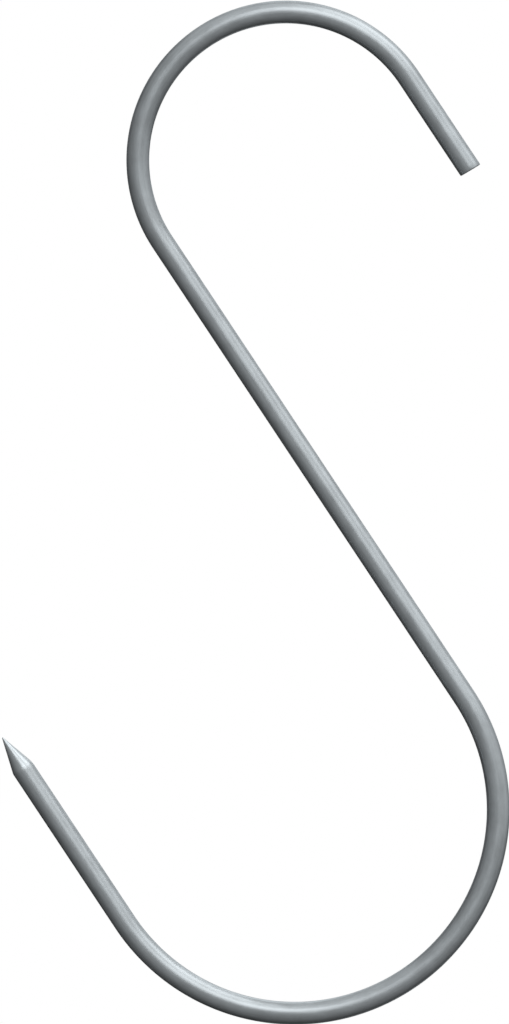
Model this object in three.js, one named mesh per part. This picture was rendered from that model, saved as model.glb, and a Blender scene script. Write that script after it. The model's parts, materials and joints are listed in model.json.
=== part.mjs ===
// Butcher's S-hook, bent from one length of round steel rod.
//
// The rod is cut square at one end and ground to a point at the other, and it is bent twice, in
// one plane and in opposite directions. The upper loop hangs over a round rail. The load is pushed
// onto the point and hangs in the larger lower loop.
//
// Frame: millimetres, +Z up. The hook lies in the XZ plane, with the rod's thickness along Y. The
// origin is the rail seat, the highest point inside the upper loop. The centres of both loops are
// on one vertical line, so the load hangs straight below the rail.
import * as THREE from "three";

// The rod.
const ROD_DIAMETER = 5;

// Each loop's clear diameter inside, and how far round it the rod turns, in degrees.
const RAIL_LOOP_BORE = 59.6;
const RAIL_LOOP_TURN = 180;
const LOAD_LOOP_BORE = 83.8;
const LOAD_LOOP_TURN = 180;

// The straights, in order along the rod.
const BLUNT_TAIL = 24.2; // from the cut end to the upper bend
const SHANK = 119; // from the upper bend to the lower bend
const POINT_TAIL = 40.3; // from the lower bend to the shoulder of the point

// The point.
const POINT_LENGTH = 8; // from the shoulder to the tip
const SHOULDER_RADIUS = 3; // rounds the edge between the rod and the ground flank
const TIP_RADIUS = 0.15;

// The cut end.
const CUT_EDGE_CHAMFER = 0.2;

// Facets.
const SIDES = 24; // around the rod
const BEND_STEP = 4; // degrees of bend from ring to ring
const ARC_DIVISIONS = 2; // half the steps across the shoulder, and across the tip

const rodRadius = ROD_DIAMETER / 2;
const railLoopRadius = RAIL_LOOP_BORE / 2 + rodRadius; // to the rod's axis
const loadLoopRadius = LOAD_LOOP_BORE / 2 + rodRadius;
const railLoopTurn = THREE.MathUtils.degToRad(RAIL_LOOP_TURN);
const loadLoopTurn = THREE.MathUtils.degToRad(LOAD_LOOP_TURN);

// The rod's stretches in order, from the cut end. A turn to the left is positive, seen with +X to
// the right and +Z up.
const stretches = [
  { length: BLUNT_TAIL, turn: 0 },
  { length: railLoopRadius * railLoopTurn, turn: railLoopTurn },
  { length: SHANK, turn: 0 },
  { length: loadLoopRadius * loadLoopTurn, turn: -loadLoopTurn },
  { length: POINT_TAIL + POINT_LENGTH, turn: 0 },
];
const rodLength = stretches.reduce((sum, stretch) => sum + stretch.length, 0);
const shoulder = rodLength - POINT_LENGTH;

// The shank leans until it touches both loops while their centres are in line.
const shankLean = Math.atan2(railLoopRadius + loadLoopRadius, SHANK);
const startHeading = shankLean - Math.PI / 2 - railLoopTurn;

// Where the cut end has to be for the rail seat to be at the origin. Points of the rod's plane are
// Vector2s that hold X and Z.
function cutEnd() {
  const forward = new THREE.Vector2(Math.cos(startHeading), Math.sin(startHeading));
  const left = new THREE.Vector2(-forward.y, forward.x);
  const loopCentre = new THREE.Vector2(0, -RAIL_LOOP_BORE / 2);
  return loopCentre.addScaledVector(left, -railLoopRadius).addScaledVector(forward, -BLUNT_TAIL);
}

// The place and heading of the rod's axis at a distance from the cut end.
function axisAt(distance) {
  const place = cutEnd();
  let heading = startHeading;
  let rest = distance;
  for (const { length, turn } of stretches) {
    const run = Math.min(rest, length);
    const halfTurn = ((turn * run) / length) / 2;
    const chord = halfTurn === 0 ? run : (run * Math.sin(halfTurn)) / halfTurn;
    place.x += chord * Math.cos(heading + halfTurn);
    place.y += chord * Math.sin(heading + halfTurn);
    heading += 2 * halfTurn;
    rest -= run;
  }
  return { place, heading };
}

// Distances of the rings between the cut end and the shoulder: both ends of each bend, and evenly
// round it.
function ringDistances() {
  const distances = [];
  let start = 0;
  for (const { length, turn } of stretches) {
    if (turn !== 0) {
      const steps = Math.ceil(THREE.MathUtils.radToDeg(Math.abs(turn)) / BEND_STEP);
      for (let i = 0; i <= steps; i++) distances.push(start + (length * i) / steps);
    }
    start += length;
  }
  return distances;
}

// Half the outline of the straight rod, as radius and distance from the cut end. The flank of the
// point touches the round of the tip and the round of the shoulder.
function rodProfile() {
  const tipCentre = rodLength - TIP_RADIUS;
  const tipToShoulder = Math.hypot(rodRadius, tipCentre - shoulder);
  const flankAngle = Math.atan2(rodRadius, tipCentre - shoulder) - Math.asin(TIP_RADIUS / tipToShoulder);
  const shoulderStart = shoulder - SHOULDER_RADIUS * Math.tan(flankAngle / 2);

  const profile = new THREE.Path();
  profile.moveTo(0, 0);
  profile.lineTo(rodRadius - CUT_EDGE_CHAMFER, 0);
  profile.lineTo(rodRadius, CUT_EDGE_CHAMFER);
  for (const distance of ringDistances()) profile.lineTo(rodRadius, distance);
  profile.absarc(rodRadius - SHOULDER_RADIUS, shoulderStart, SHOULDER_RADIUS, 0, flankAngle);
  profile.absarc(0, tipCentre, TIP_RADIUS, flankAngle, Math.PI / 2);
  return profile.getPoints(ARC_DIVISIONS);
}

// Bends the straight rod, which stands along +Y, into the hook.
function bendRod(geometry) {
  const position = geometry.getAttribute("position");
  for (let i = 0; i < position.count; i++) {
    const offset = position.getX(i);
    const { place, heading } = axisAt(position.getY(i));
    const x = place.x - offset * Math.sin(heading);
    const z = place.y + offset * Math.cos(heading);
    position.setXYZ(i, x, position.getZ(i), z);
  }
  geometry.computeVertexNormals();
  return geometry;
}

function makeHookRod() {
  const geometry = bendRod(new THREE.LatheGeometry(rodProfile(), SIDES));
  const steel = new THREE.MeshStandardMaterial({ color: 0x9aa0a3, roughness: 0.38, metalness: 1 });
  const mesh = new THREE.Mesh(geometry, steel);
  mesh.name = "hook_rod";
  return mesh;
}

const meatHook = new THREE.Group();
meatHook.add(makeHookRod());

export default meatHook;
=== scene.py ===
"""The looks of a butcher's S-hook: a bent steel rod with a square-cut end and a ground point.

Run as a script, this makes the rod straight, grinds its point, bends it to the frame's sizes, gives
it a satin drawn finish, and sets it in a plain white studio. Lengths are in metres. The hook lies
in the XZ plane with +Z up. Its origin is the rail seat, the highest point inside the upper loop.
"""

import json
import math

import bmesh
import bpy
from bpy.props import FloatProperty, FloatVectorProperty, IntProperty, PointerProperty
from bpy.types import Operator, Panel, PropertyGroup
from mathutils import Matrix, Vector


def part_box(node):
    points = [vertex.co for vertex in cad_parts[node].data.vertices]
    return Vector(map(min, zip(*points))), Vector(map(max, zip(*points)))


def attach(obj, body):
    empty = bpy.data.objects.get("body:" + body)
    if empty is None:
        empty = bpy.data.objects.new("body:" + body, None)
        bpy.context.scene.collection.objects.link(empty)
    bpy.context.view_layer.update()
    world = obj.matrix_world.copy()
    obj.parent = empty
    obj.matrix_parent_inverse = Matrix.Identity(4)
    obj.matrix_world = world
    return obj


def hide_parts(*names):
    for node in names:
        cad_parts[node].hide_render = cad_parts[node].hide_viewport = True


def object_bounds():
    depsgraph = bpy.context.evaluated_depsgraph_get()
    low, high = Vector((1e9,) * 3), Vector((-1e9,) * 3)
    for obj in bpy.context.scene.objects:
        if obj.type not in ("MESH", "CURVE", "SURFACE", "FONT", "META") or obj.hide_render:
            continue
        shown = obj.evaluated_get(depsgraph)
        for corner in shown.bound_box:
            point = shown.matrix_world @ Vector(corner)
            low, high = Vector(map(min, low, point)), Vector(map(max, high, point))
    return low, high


bl_info = {
    "name": "Meat Hook",
    "version": (1, 0, 0),
    "blender": (4, 5, 0),
    "location": "View3D > Sidebar > Meat Hook",
    "description": "Models a bent steel meat hook and the studio that it is shown in",
    "category": "Object",
}

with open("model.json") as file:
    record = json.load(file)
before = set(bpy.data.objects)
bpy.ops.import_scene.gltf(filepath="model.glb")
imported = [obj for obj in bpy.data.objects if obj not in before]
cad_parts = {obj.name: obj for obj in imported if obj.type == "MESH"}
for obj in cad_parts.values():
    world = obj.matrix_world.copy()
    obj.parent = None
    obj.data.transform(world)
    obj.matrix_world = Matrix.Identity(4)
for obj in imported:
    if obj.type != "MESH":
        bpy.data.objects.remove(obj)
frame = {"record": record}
CAD_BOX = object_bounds()

ROD_NODE = "hook_rod"
ROD_PLACE = "rod_place"
MILLIMETRE = 0.001

# The frame's rod has flat facets round its bends, so the true round is drawn a hair thinner.
FACET_ALLOWANCE = 0.01 * MILLIMETRE
ROD_LOW, ROD_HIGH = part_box(ROD_NODE)
FRAME_ROD_DIAMETER = ROD_HIGH.y - ROD_LOW.y
FRAME_ROD_RADIUS = FRAME_ROD_DIAMETER / 2
ROD_RADIUS = FRAME_ROD_RADIUS - FACET_ALLOWANCE
RAIL_LOOP_BORE = 59.6 * MILLIMETRE
LOAD_LOOP_BORE = 2 * (ROD_HIGH.x - FRAME_ROD_DIAMETER)
RAIL_SEAT = Vector(frame["record"]["mounts"][0]["pos_m"])
STEEL_COLOUR = frame["record"]["materials"][0]["base_color"][:3]

CUT_RIM = 0.5 * MILLIMETRE  # the ring of faces inside the edge of the cut face
GROUND_ZONE = 4 * MILLIMETRE  # how far down the rod the grinding of the point can reach
TIP_ROUND = 0.8  # how much of the flat of the tip its rounding takes up
ROUNDING_SEGMENTS = 4
FINE_RINGS = 4  # how many times closer the mesh's rings are near the point
TOLERANCE = 0.001  # the share that a length may be off by when it is compared
MERGE_DISTANCE = 0.001 * MILLIMETRE


def shank_between_loops():
    """The straight that touches both loops, whose centres are one above the other."""
    loops = (RAIL_LOOP_BORE + LOAD_LOOP_BORE) / 2
    centre_distance = ROD_HIGH.z - ROD_LOW.z - loops - 2 * FRAME_ROD_DIAMETER
    return math.sqrt(centre_distance**2 - (loops + FRAME_ROD_DIAMETER) ** 2)


# Settings ---------------------------------------------------------------------------------------


def length_setting(name, description, default):
    return FloatProperty(
        name=name, description=description, default=default, min=0.0, precision=5, unit="LENGTH"
    )


def angle_setting(name, description, degrees):
    return FloatProperty(
        name=name, description=description, default=math.radians(degrees), subtype="ANGLE"
    )


def share_setting(name, description, default):
    return FloatProperty(
        name=name, description=description, default=default, min=0.0, max=1.0, subtype="FACTOR"
    )


class HookSizes(PropertyGroup):
    """The sizes that the rod is cut, ground and bent to."""

    rail_loop_bore: length_setting(
        "Rail loop bore", "Clear diameter inside the upper loop", RAIL_LOOP_BORE
    )
    load_loop_bore: length_setting(
        "Load loop bore", "Clear diameter inside the lower loop", LOAD_LOOP_BORE
    )
    shank: length_setting("Shank", "Straight between the two loops", shank_between_loops())
    blunt_tail: length_setting(
        "Blunt tail", "Straight from the cut end to the upper loop", 24.2 * MILLIMETRE
    )
    point_tail: length_setting(
        "Point tail", "Straight from the lower loop to the point", 40.3 * MILLIMETRE
    )
    point_length: length_setting(
        "Point length", "From the shoulder of the point to its tip", 8 * MILLIMETRE
    )
    tip_flat: length_setting(
        "Tip flat", "Radius of the end of the point, before it is rounded", 0.11 * MILLIMETRE
    )
    crisp_shoulder: length_setting(
        "Crisp shoulder", "Softness of the shoulder on its outer side", 0.08 * MILLIMETRE
    )
    soft_shoulder: length_setting(
        "Soft shoulder", "Softness of the shoulder on its inner side", 0.3 * MILLIMETRE
    )
    cut_edge_round: length_setting(
        "Cut edge round", "Rounding of the edge of the cut face", 0.22 * MILLIMETRE
    )
    cut_slant: angle_setting("Cut slant", "How far the cut face is from square", 2.4)
    ring_spacing: length_setting(
        "Ring spacing", "Distance between the mesh's rings along the rod", 0.9 * MILLIMETRE
    )
    sides: IntProperty(name="Sides", description="Faces around the rod", default=96, min=12)


class SteelFinish(PropertyGroup):
    """The colour and gloss of the steel."""

    colour: FloatVectorProperty(
        name="Steel colour",
        description="Colour of the drawn rod",
        subtype="COLOR",
        size=3,
        min=0.0,
        max=1.0,
        default=STEEL_COLOUR,
    )
    roughness: share_setting("Roughness", "Roughness of the drawn rod", 0.38)


class StudioSettings(PropertyGroup):
    """The camera, the light and the floor."""

    camera_distance: length_setting("Camera distance", "From the camera to the hook", 3.0)
    camera_roll: angle_setting(
        "Camera roll", "How far the camera is turned about its line of sight", -0.758
    )
    framing: FloatProperty(
        name="Framing",
        description="Height of the picture at the hook, as a share of the hook's height",
        default=0.9998,
        min=0.1,
    )
    aim: FloatVectorProperty(
        name="Aim",
        description="Where the camera looks, from the middle of the hook's box",
        default=(0.46 * MILLIMETRE, 0.0, 0.24 * MILLIMETRE),
        subtype="TRANSLATION",
        unit="LENGTH",
        size=3,
        precision=5,
    )
    floor_drop: length_setting("Floor drop", "From the bottom of the hook to the floor", 0.08)
    floor_radius: length_setting("Floor radius", "Size of the round floor", 2.1)


# Shader trees -----------------------------------------------------------------------------------


class Value:
    """An output in a node tree. Python's own operators on it add Math nodes."""

    def __init__(self, bench, socket):
        self.bench = bench
        self.socket = socket

    def __add__(self, other):
        return self.bench.math("ADD", self, other)

    def __radd__(self, other):
        return self.bench.math("ADD", other, self)

    def __sub__(self, other):
        return self.bench.math("SUBTRACT", self, other)

    def __rsub__(self, other):
        return self.bench.math("SUBTRACT", other, self)

    def __mul__(self, other):
        return self.bench.math("MULTIPLY", self, other)

    def __rmul__(self, other):
        return self.bench.math("MULTIPLY", other, self)

    def __abs__(self):
        return self.bench.math("ABSOLUTE", self)


class NodeBench:
    """Adds nodes to one tree and links them."""

    def __init__(self, owner):
        owner.use_nodes = True
        self.tree = owner.node_tree
        self.tree.nodes.clear()

    def add(self, kind, settings=None, inputs=None, output=0):
        """Adds a node, makes its settings, fills its inputs, and returns one of its outputs."""
        node = self.tree.nodes.new(kind)
        for name, value in (settings or {}).items():
            setattr(node, name, value)
        for key, value in (inputs or {}).items():
            if isinstance(value, Value):
                self.tree.links.new(value.socket, node.inputs[key])
            else:
                node.inputs[key].default_value = value
        return Value(self, node.outputs[output]) if node.outputs else None

    def math(self, operation, *values):
        return self.add("ShaderNodeMath", {"operation": operation}, dict(enumerate(values)))

    def vector_math(self, operation, *values, output=0):
        settings = {"operation": operation}
        return self.add("ShaderNodeVectorMath", settings, dict(enumerate(values)), output)

    def axes(self, vector):
        """The X, Y and Z of a vector."""
        split = {"Vector": vector}
        return [self.add("ShaderNodeSeparateXYZ", None, split, output=name) for name in "XYZ"]

    def smooth_step(self, value, start, end):
        """0 up to start, 1 from end on, and smooth between. It falls where end is before start."""
        if end < start:
            return 1 - self.smooth_step(value, end, start)
        inputs = {"Value": value, "From Min": start, "From Max": end}
        return self.add("ShaderNodeMapRange", {"interpolation_type": "SMOOTHSTEP"}, inputs)

    def mix_colour(self, factor, a, b):
        # A Mix node's colour inputs and output come after those for numbers and vectors.
        inputs = {0: factor, 6: a, 7: b}
        return self.add("ShaderNodeMix", {"data_type": "RGBA"}, inputs, output=2)

    def noise(self, vector, detail=2.0, roughness=0.5):
        """Even noise from 0 to 1 that takes one unit of the vector for a cell."""
        inputs = {"Vector": vector, "Scale": 1.0, "Detail": detail, "Roughness": roughness}
        return self.add("ShaderNodeTexNoise", {"noise_dimensions": "3D"}, inputs)


# The rod ----------------------------------------------------------------------------------------


def direction_along(heading):
    """The direction of a heading in the hook's plane, from +X towards +Z."""
    return Vector((math.cos(heading), 0, math.sin(heading)))


class RodPath:
    """Where the axis of the bent rod runs, from the cut end to the tip.

    The rod turns left round the rail loop and right round the load loop, half a turn each, seen
    with +X to the right and +Z up.
    """

    def __init__(self, sizes):
        rail_radius = (sizes.rail_loop_bore + FRAME_ROD_DIAMETER) / 2
        load_radius = (sizes.load_loop_bore + FRAME_ROD_DIAMETER) / 2
        lean = math.atan2(rail_radius + load_radius, sizes.shank)
        rail_bend = rail_radius * math.pi
        load_bend = load_radius * math.pi
        self.stretches = [
            (sizes.blunt_tail, 0.0),
            (rail_bend, math.pi),
            (sizes.shank, 0.0),
            (load_bend, -math.pi),
            (sizes.point_tail + sizes.point_length, 0.0),
        ]
        self.length = sum(length for length, _ in self.stretches)
        self.shoulder = self.length - sizes.point_length

        # The rod runs level at the top of the rail loop and at the bottom of the load loop.
        self.rail_crown = sizes.blunt_tail + rail_radius * (math.pi / 2 - lean)
        load_bend_start = sizes.blunt_tail + rail_bend + sizes.shank
        self.load_crown = load_bend_start + load_radius * (math.pi / 2 + lean)

        self.start_heading = lean - 1.5 * math.pi
        forward = direction_along(self.start_heading)
        left = direction_along(self.start_heading + math.pi / 2)
        rail_centre = RAIL_SEAT - Vector((0, 0, sizes.rail_loop_bore / 2))
        self.cut_end = rail_centre - left * rail_radius - forward * sizes.blunt_tail

    def bend(self, place):
        """Takes a point of the straight rod, which stands along +Z, to its place in the hook."""
        point = self.cut_end.copy()
        heading = self.start_heading
        rest = place.z
        for length, turn in self.stretches:
            run = min(rest, length)
            half_turn = turn * run / length / 2
            chord = run if half_turn == 0 else run * math.sin(half_turn) / half_turn
            point += chord * direction_along(heading + half_turn)
            heading += 2 * half_turn
            rest -= run
        left = direction_along(heading + math.pi / 2)
        return point + place.x * left + Vector((0, place.y, 0))


def rod_outline(bm, sizes, path):
    """Half the outline of the straight rod, from the middle of the cut face to the tip."""
    ground_start = path.shoulder - GROUND_ZONE
    cut_corner = (ROD_RADIUS, 0.0)
    tip_corner = (sizes.tip_flat, path.length)
    corners = [(0.0, 0.0), (ROD_RADIUS - CUT_RIM, 0.0), cut_corner]
    bend_end = 0.0
    for length, _ in path.stretches[:-1]:
        bend_end += length
        corners.append((ROD_RADIUS, bend_end))
    corners += [(ROD_RADIUS, ground_start), (ROD_RADIUS, path.shoulder)]
    corners += [tip_corner, (0.0, path.length)]
    verts = [bm.verts.new((x, 0, z)) for x, z in corners]
    for pair in zip(verts, verts[1:]):
        bm.edges.new(pair)

    for (x, z), size in (
        (cut_corner, sizes.cut_edge_round),
        (tip_corner, TIP_ROUND * sizes.tip_flat),
    ):
        bmesh.ops.bevel(
            bm,
            geom=[min(bm.verts, key=lambda vert: (vert.co - Vector((x, 0, z))).length)],
            offset=size,
            offset_type="OFFSET",
            segments=ROUNDING_SEGMENTS,
            profile=0.5,
            affect="VERTICES",
            material=-1,
        )

    # Close rings near the point, so that it can be ground smoothly, and wider ones elsewhere.
    def pieces_of(edge):
        low, high = sorted(vert.co.z for vert in edge.verts)
        in_ground = low > (1 - TOLERANCE) * ground_start
        spacing = sizes.ring_spacing / (FINE_RINGS if in_ground else 1)
        on_cut_face = high == 0
        return 1 if on_cut_face else math.ceil((1 - TOLERANCE) * edge.calc_length() / spacing)

    while long_edges := [edge for edge in bm.edges if pieces_of(edge) > 1]:
        edge = long_edges[0]
        bmesh.ops.subdivide_edges(bm, edges=[edge], cuts=pieces_of(edge) - 1)


def grind_point(bm, sizes, path):
    """Softens the shoulder of the point: a little on the outer side, and more on the inner."""
    for vert in bm.verts:
        to_tip = path.length - vert.co.z
        ring = vert.co.xy.length
        if to_tip > sizes.point_length + GROUND_ZONE or ring <= sizes.tip_flat:
            continue
        outer = (1 + vert.co.x / ring) / 2
        softness = sizes.soft_shoulder + outer * (sizes.crisp_shoulder - sizes.soft_shoulder)
        taper = (ROD_RADIUS - sizes.tip_flat) / sizes.point_length
        flank = sizes.tip_flat + taper * to_tip

        # Most is shaved off at the shoulder itself, and none beyond the softness.
        shaved = max(softness - abs(flank - ROD_RADIUS), 0) ** 2 / (4 * softness)
        vert.co.xy *= (ring - shaved) / ring


def slant_cut(bm, sizes):
    """Leans the cut face, so that it is a little short on its outer side."""
    end = [vert for vert in bm.verts if vert.co.z < (1 + TOLERANCE) * sizes.cut_edge_round]
    lean = Matrix.Rotation(-sizes.cut_slant, 3, "Y")
    bmesh.ops.rotate(bm, verts=end, cent=(-FRAME_ROD_RADIUS, 0, 0), matrix=lean)


def make_bent_rod(sizes):
    path = RodPath(sizes)
    bm = bmesh.new()
    rod_outline(bm, sizes, path)
    bmesh.ops.spin(
        bm,
        geom=bm.verts[:] + bm.edges[:],
        cent=(0, 0, 0),
        axis=(0, 0, 1),
        angle=2 * math.pi,
        steps=sizes.sides,
        use_merge=True,
    )
    bmesh.ops.remove_doubles(bm, verts=bm.verts[:], dist=MERGE_DISTANCE)
    grind_point(bm, sizes, path)

    # Each vertex remembers its place on the straight rod, so that the finish follows the bends.
    rod_place = bm.verts.layers.float_vector.new(ROD_PLACE)
    for vert in bm.verts:
        vert[rod_place] = vert.co
    slant_cut(bm, sizes)
    for vert in bm.verts:
        vert.co = path.bend(vert.co)

    # The bends mirror the rod and so turn its faces inwards. This turns them out again.
    bm.normal_update()
    bmesh.ops.recalc_face_normals(bm, faces=bm.faces[:])
    for face in bm.faces:
        face.smooth = True

    mesh = bpy.data.meshes.new("bent_rod")
    bm.to_mesh(mesh)
    bm.free()
    rod = bpy.data.objects.new("bent_rod", mesh)
    bpy.context.scene.collection.objects.link(rod)
    return rod


# The steel --------------------------------------------------------------------------------------

# The width and the length of the marks in the steel.
DRAWN_LINES = (0.5 * MILLIMETRE, 70 * MILLIMETRE)
HAIRLINES = (0.12 * MILLIMETRE, 18 * MILLIMETRE)
MOTTLING = (2 * MILLIMETRE, 5 * MILLIMETRE)
GRINDING_RINGS = (0.14 * MILLIMETRE, 3 * MILLIMETRE)
SAW_MARKS = (0.12 * MILLIMETRE, 3 * MILLIMETRE)
MARK_DEPTH = 0.012 * MILLIMETRE

GROUND_EDGE = 0.4 * MILLIMETRE  # half the width of the change from drawn to ground
GROUND_EDGE_WANDER = 0.8 * MILLIMETRE
CUT_FACE = (0.02 * MILLIMETRE, 0.1 * MILLIMETRE)  # where along the rod the sawn finish fades out
RUBBED = (3 * MILLIMETRE, 22 * MILLIMETRE)  # how far from the crown of a loop its wear fades out
RUBBED_SIDE = (0.35, 0.95)  # and how far from the rod's axis it fades in, as shares of the radius

# How far each mark and finish shifts the tone, which is 0 where dull and 1 where bright.
TONE_SPREAD = 0.14  # how much darker and brighter than its colour the steel gets
DRAWN_TONE = 0.7
HAIRLINE_TONE = 0.7
MOTTLE_TONE = 1.9
RING_TONE = 0.6
GROUND_TONE = 0.25
WORN_TONE = 0.15
CUT_TONE = -0.3

# How far each shifts the roughness.
DRAWN_ROUGHNESS = 0.15
MOTTLE_ROUGHNESS = 0.15
GROUND_ROUGHNESS = -0.06
WORN_ROUGHNESS = -0.08
CUT_ROUGHNESS = 0.12

# How deep each mark is, as a share of MARK_DEPTH. The drawn lines and the saw marks have all of it.
HAIRLINE_RELIEF = 0.6
MOTTLE_RELIEF = 0.5
RING_RELIEF = 0.5

# Chosen for the look: it keeps the edges of the rod darker than those of bare steel.
EDGE_TINT = (0.2, 0.2, 0.2, 1)


def satin_drawn_steel(finish, sizes):
    """Bright steel rod, drawn through a die: fine lines along it, and a ground point."""
    path = RodPath(sizes)
    steel = bpy.data.materials.new("satin_drawn_steel")
    bench = NodeBench(steel)
    settings = {"attribute_type": "GEOMETRY", "attribute_name": ROD_PLACE}
    place = bench.add("ShaderNodeAttribute", settings, output="Vector")
    across, _, along = bench.axes(place)

    def marks(cell_across, cell_side, cell_along, **noise):
        """Noise in cells of this size across the rod, through its side and along it."""
        cells = (1 / cell_across, 1 / cell_side, 1 / cell_along)
        return bench.noise(bench.vector_math("MULTIPLY", place, cells), **noise)

    def lines_along(width, length, **noise):
        return marks(width, width, length, **noise)

    def lines_around(width, length):
        return marks(length, length, width)

    def lines_across_cut(width, length):
        return marks(length, width, length)

    # Each is noise from 0 to 1, taken as a height or a tone either side of its middle, 0.5.
    drawn = lines_along(*DRAWN_LINES)
    hairline = lines_along(*HAIRLINES)
    mottle = lines_along(*MOTTLING, detail=4.0, roughness=0.7)
    ringed = lines_around(*GRINDING_RINGS)
    sawn = lines_across_cut(*SAW_MARKS)

    ground_start = path.shoulder - GROUND_EDGE
    ground_full = path.shoulder + GROUND_EDGE
    ground = bench.smooth_step(
        along + (mottle - 0.5) * GROUND_EDGE_WANDER, ground_start, ground_full
    )
    cut = 1 - bench.smooth_step(along, *CUT_FACE)

    def rubbed(crown, inner):
        """Where a loop bears: the inner side of its crown."""
        near = 1 - bench.smooth_step(abs(along - crown), *RUBBED)
        low, high = RUBBED_SIDE
        return near * bench.smooth_step(inner, low * FRAME_ROD_RADIUS, high * FRAME_ROD_RADIUS)

    worn = rubbed(path.rail_crown, across) + rubbed(path.load_crown, 0 - across)

    drawn_tone = (
        (drawn - 0.5) * DRAWN_TONE
        + (hairline - 0.5) * HAIRLINE_TONE
        + (mottle - 0.5) * MOTTLE_TONE
    )
    tone = 0.5 + drawn_tone * (1 - ground) + (ringed - 0.5) * RING_TONE * ground
    tone = tone + ground * GROUND_TONE + worn * WORN_TONE + cut * CUT_TONE
    dull = (*((1 - TONE_SPREAD) * level for level in finish.colour), 1)
    bright = (*(min((1 + TONE_SPREAD) * level, 1) for level in finish.colour), 1)
    base_colour = bench.mix_colour(tone, dull, bright)

    roughness = (
        finish.roughness
        + (drawn - 0.5) * DRAWN_ROUGHNESS
        + (mottle - 0.5) * MOTTLE_ROUGHNESS
        + ground * GROUND_ROUGHNESS
        + worn * WORN_ROUGHNESS
        + cut * CUT_ROUGHNESS
    )

    drawn_relief = drawn + hairline * HAIRLINE_RELIEF + mottle * MOTTLE_RELIEF
    relief = (
        drawn_relief * (1 - ground) * (1 - cut) + ringed * ground * RING_RELIEF + sawn * cut
    )
    bump = {"Strength": 1.0, "Distance": MARK_DEPTH, "Height": relief}
    normal = bench.add("ShaderNodeBump", None, bump, output="Normal")
    shader = bench.add(
        "ShaderNodeBsdfPrincipled",
        None,
        {
            "Base Color": base_colour,
            "Metallic": 1.0,
            "Roughness": roughness,
            "Specular Tint": EDGE_TINT,
            "Normal": normal,
        },
        output="BSDF",
    )
    bench.add("ShaderNodeOutputMaterial", None, {"Surface": shader})
    return steel


# The studio -------------------------------------------------------------------------------------

# The lamps and the surround are set for the look. For each lamp: its name, the direction that it
# stands in (degrees to the right of the camera, and above level), the angle that it spans, and its
# brightness.
LAMPS = (
    ("window_lamp", 75, 55, 45, 1.1),
    ("front_lamp", 10, 30, 40, 1.1),
    ("sky_lamp", 100, 60, 140, 0.3),
    ("rear_lamp", 170, 25, 60, 1.2),
    ("rear_fill_lamp", 195, 10, 45, 0.6),
    ("low_rear_lamp", 170, -20, 40, 0.9),
)

# The surround is brightest in this direction, and fades from it. The edges are cosines of the angle
# from it, and lie past both ends of the range, so the surround is never quite dim or quite bright.
SURROUND_TOWARDS = (15, 40)
SURROUND_DIM = 0.03
SURROUND_BRIGHT = 0.5
SURROUND_EDGES = (-1.4, 1.7)

WHITE = (1, 1, 1, 1)
PALE = (0.95, 0.95, 0.95, 1)
FLOOR_ROUGHNESS = 0.9
FLOOR_SIDES = 128
FLOOR_FADE = (0.25, 0.9)  # where it starts and ends fading to white, as shares of its radius


def direction_towards(azimuth, elevation):
    """The direction so many degrees to the right of the camera and above level."""
    turn, rise = math.radians(azimuth), math.radians(elevation)
    level = math.cos(rise)
    return Vector((level * math.sin(turn), -level * math.cos(turn), math.sin(rise)))


def hang_lamps():
    for name, azimuth, elevation, spans, brightness in LAMPS:
        sun = bpy.data.lights.new(name, "SUN")
        sun.angle = math.radians(spans)
        sun.energy = brightness * math.pi * math.sin(sun.angle / 2) ** 2
        lamp = bpy.data.objects.new(name, sun)
        lamp.rotation_mode = "QUATERNION"
        lamp.rotation_quaternion = direction_towards(azimuth, elevation).to_track_quat("Z", "Y")
        bpy.context.scene.collection.objects.link(lamp)


def paint_surround():
    """White behind the hook, and around it the soft light of a room, brighter to one side."""
    world = bpy.data.worlds.new("studio")
    bpy.context.scene.world = world
    bench = NodeBench(world)
    towards = bench.add("ShaderNodeTexCoord", output="Generated")
    lit = bench.vector_math(
        "DOT_PRODUCT", towards, direction_towards(*SURROUND_TOWARDS), output="Value"
    )
    glow = SURROUND_DIM + bench.smooth_step(lit, *SURROUND_EDGES) * (SURROUND_BRIGHT - SURROUND_DIM)
    seen = bench.add("ShaderNodeLightPath", output="Is Camera Ray")
    backdrop = {"Color": WHITE, "Strength": seen + (1 - seen) * glow}
    shade = bench.add("ShaderNodeBackground", None, backdrop)
    bench.add("ShaderNodeOutputWorld", None, {"Surface": shade})


def lay_floor(studio, low):
    bm = bmesh.new()
    bmesh.ops.create_circle(bm, cap_ends=True, segments=FLOOR_SIDES, radius=studio.floor_radius)
    bmesh.ops.translate(bm, verts=bm.verts[:], vec=(0, 0, low.z - studio.floor_drop))
    mesh = bpy.data.meshes.new("floor")
    bm.to_mesh(mesh)
    bm.free()
    floor = bpy.data.objects.new("floor", mesh)
    bpy.context.scene.collection.objects.link(floor)

    pale = bpy.data.materials.new("pale_floor")
    bench = NodeBench(pale)
    paint = {"Base Color": PALE, "Roughness": FLOOR_ROUGHNESS}
    painted = bench.add("ShaderNodeBsdfPrincipled", None, paint)
    white = bench.add("ShaderNodeEmission", None, {"Color": WHITE, "Strength": 1.0})
    place = bench.add("ShaderNodeTexCoord", output="Object")
    from_middle = bench.vector_math("LENGTH", place, output="Value")
    far = bench.smooth_step(from_middle, *(share * studio.floor_radius for share in FLOOR_FADE))
    shader = bench.add("ShaderNodeMixShader", None, {0: far, 1: painted, 2: white})
    bench.add("ShaderNodeOutputMaterial", None, {"Surface": shader})
    mesh.materials.append(pale)

    # The floor catches the hook's shadow, but doesn't light the hook or shade it.
    floor.visible_glossy = False
    floor.visible_diffuse = False
    floor.visible_shadow = False


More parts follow.
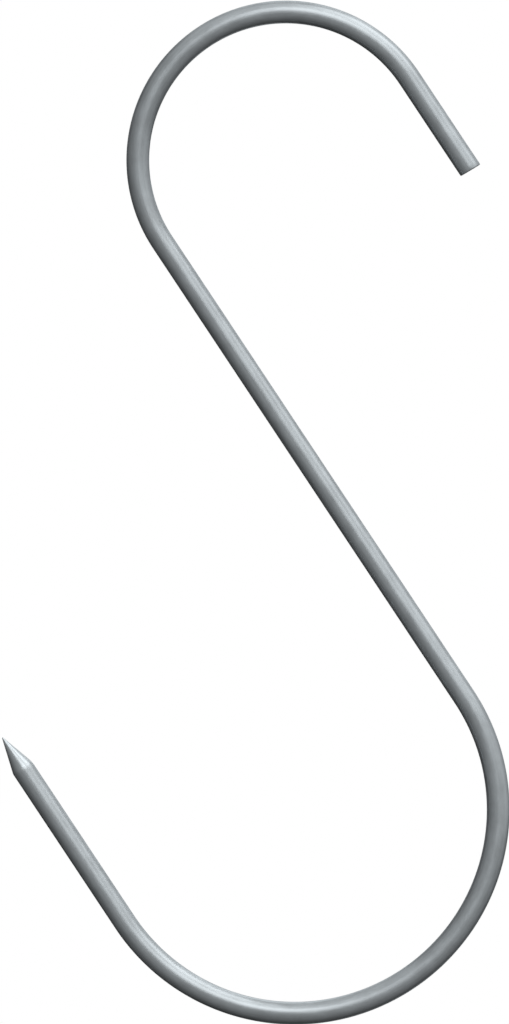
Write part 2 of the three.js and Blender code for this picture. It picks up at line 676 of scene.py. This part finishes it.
def place_camera(studio, low, high):
    camera = bpy.data.objects.new("camera", bpy.data.cameras.new("camera"))
    picture_height = studio.framing * (high.z - low.z)
    camera.data.lens = camera.data.sensor_width * studio.camera_distance / picture_height
    forward = Vector((0, 1, 0))
    aim = (low + high) / 2 + Vector(studio.aim)
    turned = forward.to_track_quat("-Z", "Y").to_matrix()
    rolled = turned @ Matrix.Rotation(studio.camera_roll, 3, "Z")
    camera.matrix_world = Matrix.LocRotScale(
        aim - forward * studio.camera_distance, rolled, Vector((1, 1, 1))
    )
    bpy.context.scene.collection.objects.link(camera)
    bpy.context.scene.camera = camera


# Operators --------------------------------------------------------------------------------------


class MEATHOOK_OT_rod(Operator):
    """Make the straight rod, grind its point, and bend it into the hook"""

    bl_idname = "meat_hook.rod"
    bl_label = "Bend the Rod"
    bl_options = {"REGISTER", "UNDO"}

    def execute(self, context):
        sizes = context.scene.hook_sizes
        rod = make_bent_rod(sizes)
        rod.data.materials.append(satin_drawn_steel(context.scene.steel_finish, sizes))
        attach(rod, "root")
        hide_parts(ROD_NODE)
        return {"FINISHED"}


class MEATHOOK_OT_studio(Operator):
    """Set up the floor, the light and the camera"""

    bl_idname = "meat_hook.studio"
    bl_label = "Set Up the Studio"
    bl_options = {"REGISTER", "UNDO"}

    def execute(self, context):
        studio = context.scene.hook_studio
        low, high = CAD_BOX
        paint_surround()
        hang_lamps()
        lay_floor(studio, low)
        place_camera(studio, low, high)
        context.scene.view_settings.view_transform = "Standard"
        return {"FINISHED"}


class MEATHOOK_PT_sidebar(Panel):
    """The hook's sizes, finish and studio"""

    bl_idname = "MEATHOOK_PT_sidebar"
    bl_label = "Meat Hook"
    bl_space_type = "VIEW_3D"
    bl_region_type = "UI"
    bl_category = "Meat Hook"

    def draw(self, context):
        layout = self.layout
        for settings, operator in (
            ("hook_sizes", MEATHOOK_OT_rod),
            ("steel_finish", None),
            ("hook_studio", MEATHOOK_OT_studio),
        ):
            group = getattr(context.scene, settings)
            box = layout.box()
            for name in group.bl_rna.properties.keys():
                if name not in ("name", "rna_type"):
                    box.prop(group, name)
            if operator:
                box.operator(operator.bl_idname)


CLASSES = (
    HookSizes,
    SteelFinish,
    StudioSettings,
    MEATHOOK_OT_rod,
    MEATHOOK_OT_studio,
    MEATHOOK_PT_sidebar,
)


def register():
    for cls in CLASSES:
        bpy.utils.register_class(cls)
    bpy.types.Scene.hook_sizes = PointerProperty(type=HookSizes)
    bpy.types.Scene.steel_finish = PointerProperty(type=SteelFinish)
    bpy.types.Scene.hook_studio = PointerProperty(type=StudioSettings)


def unregister():
    del bpy.types.Scene.hook_studio
    del bpy.types.Scene.steel_finish
    del bpy.types.Scene.hook_sizes
    for cls in reversed(CLASSES):
        bpy.utils.unregister_class(cls)


def main():
    register()
    bpy.ops.meat_hook.rod()
    bpy.ops.meat_hook.studio()


if __name__ == "__main__":
    main()
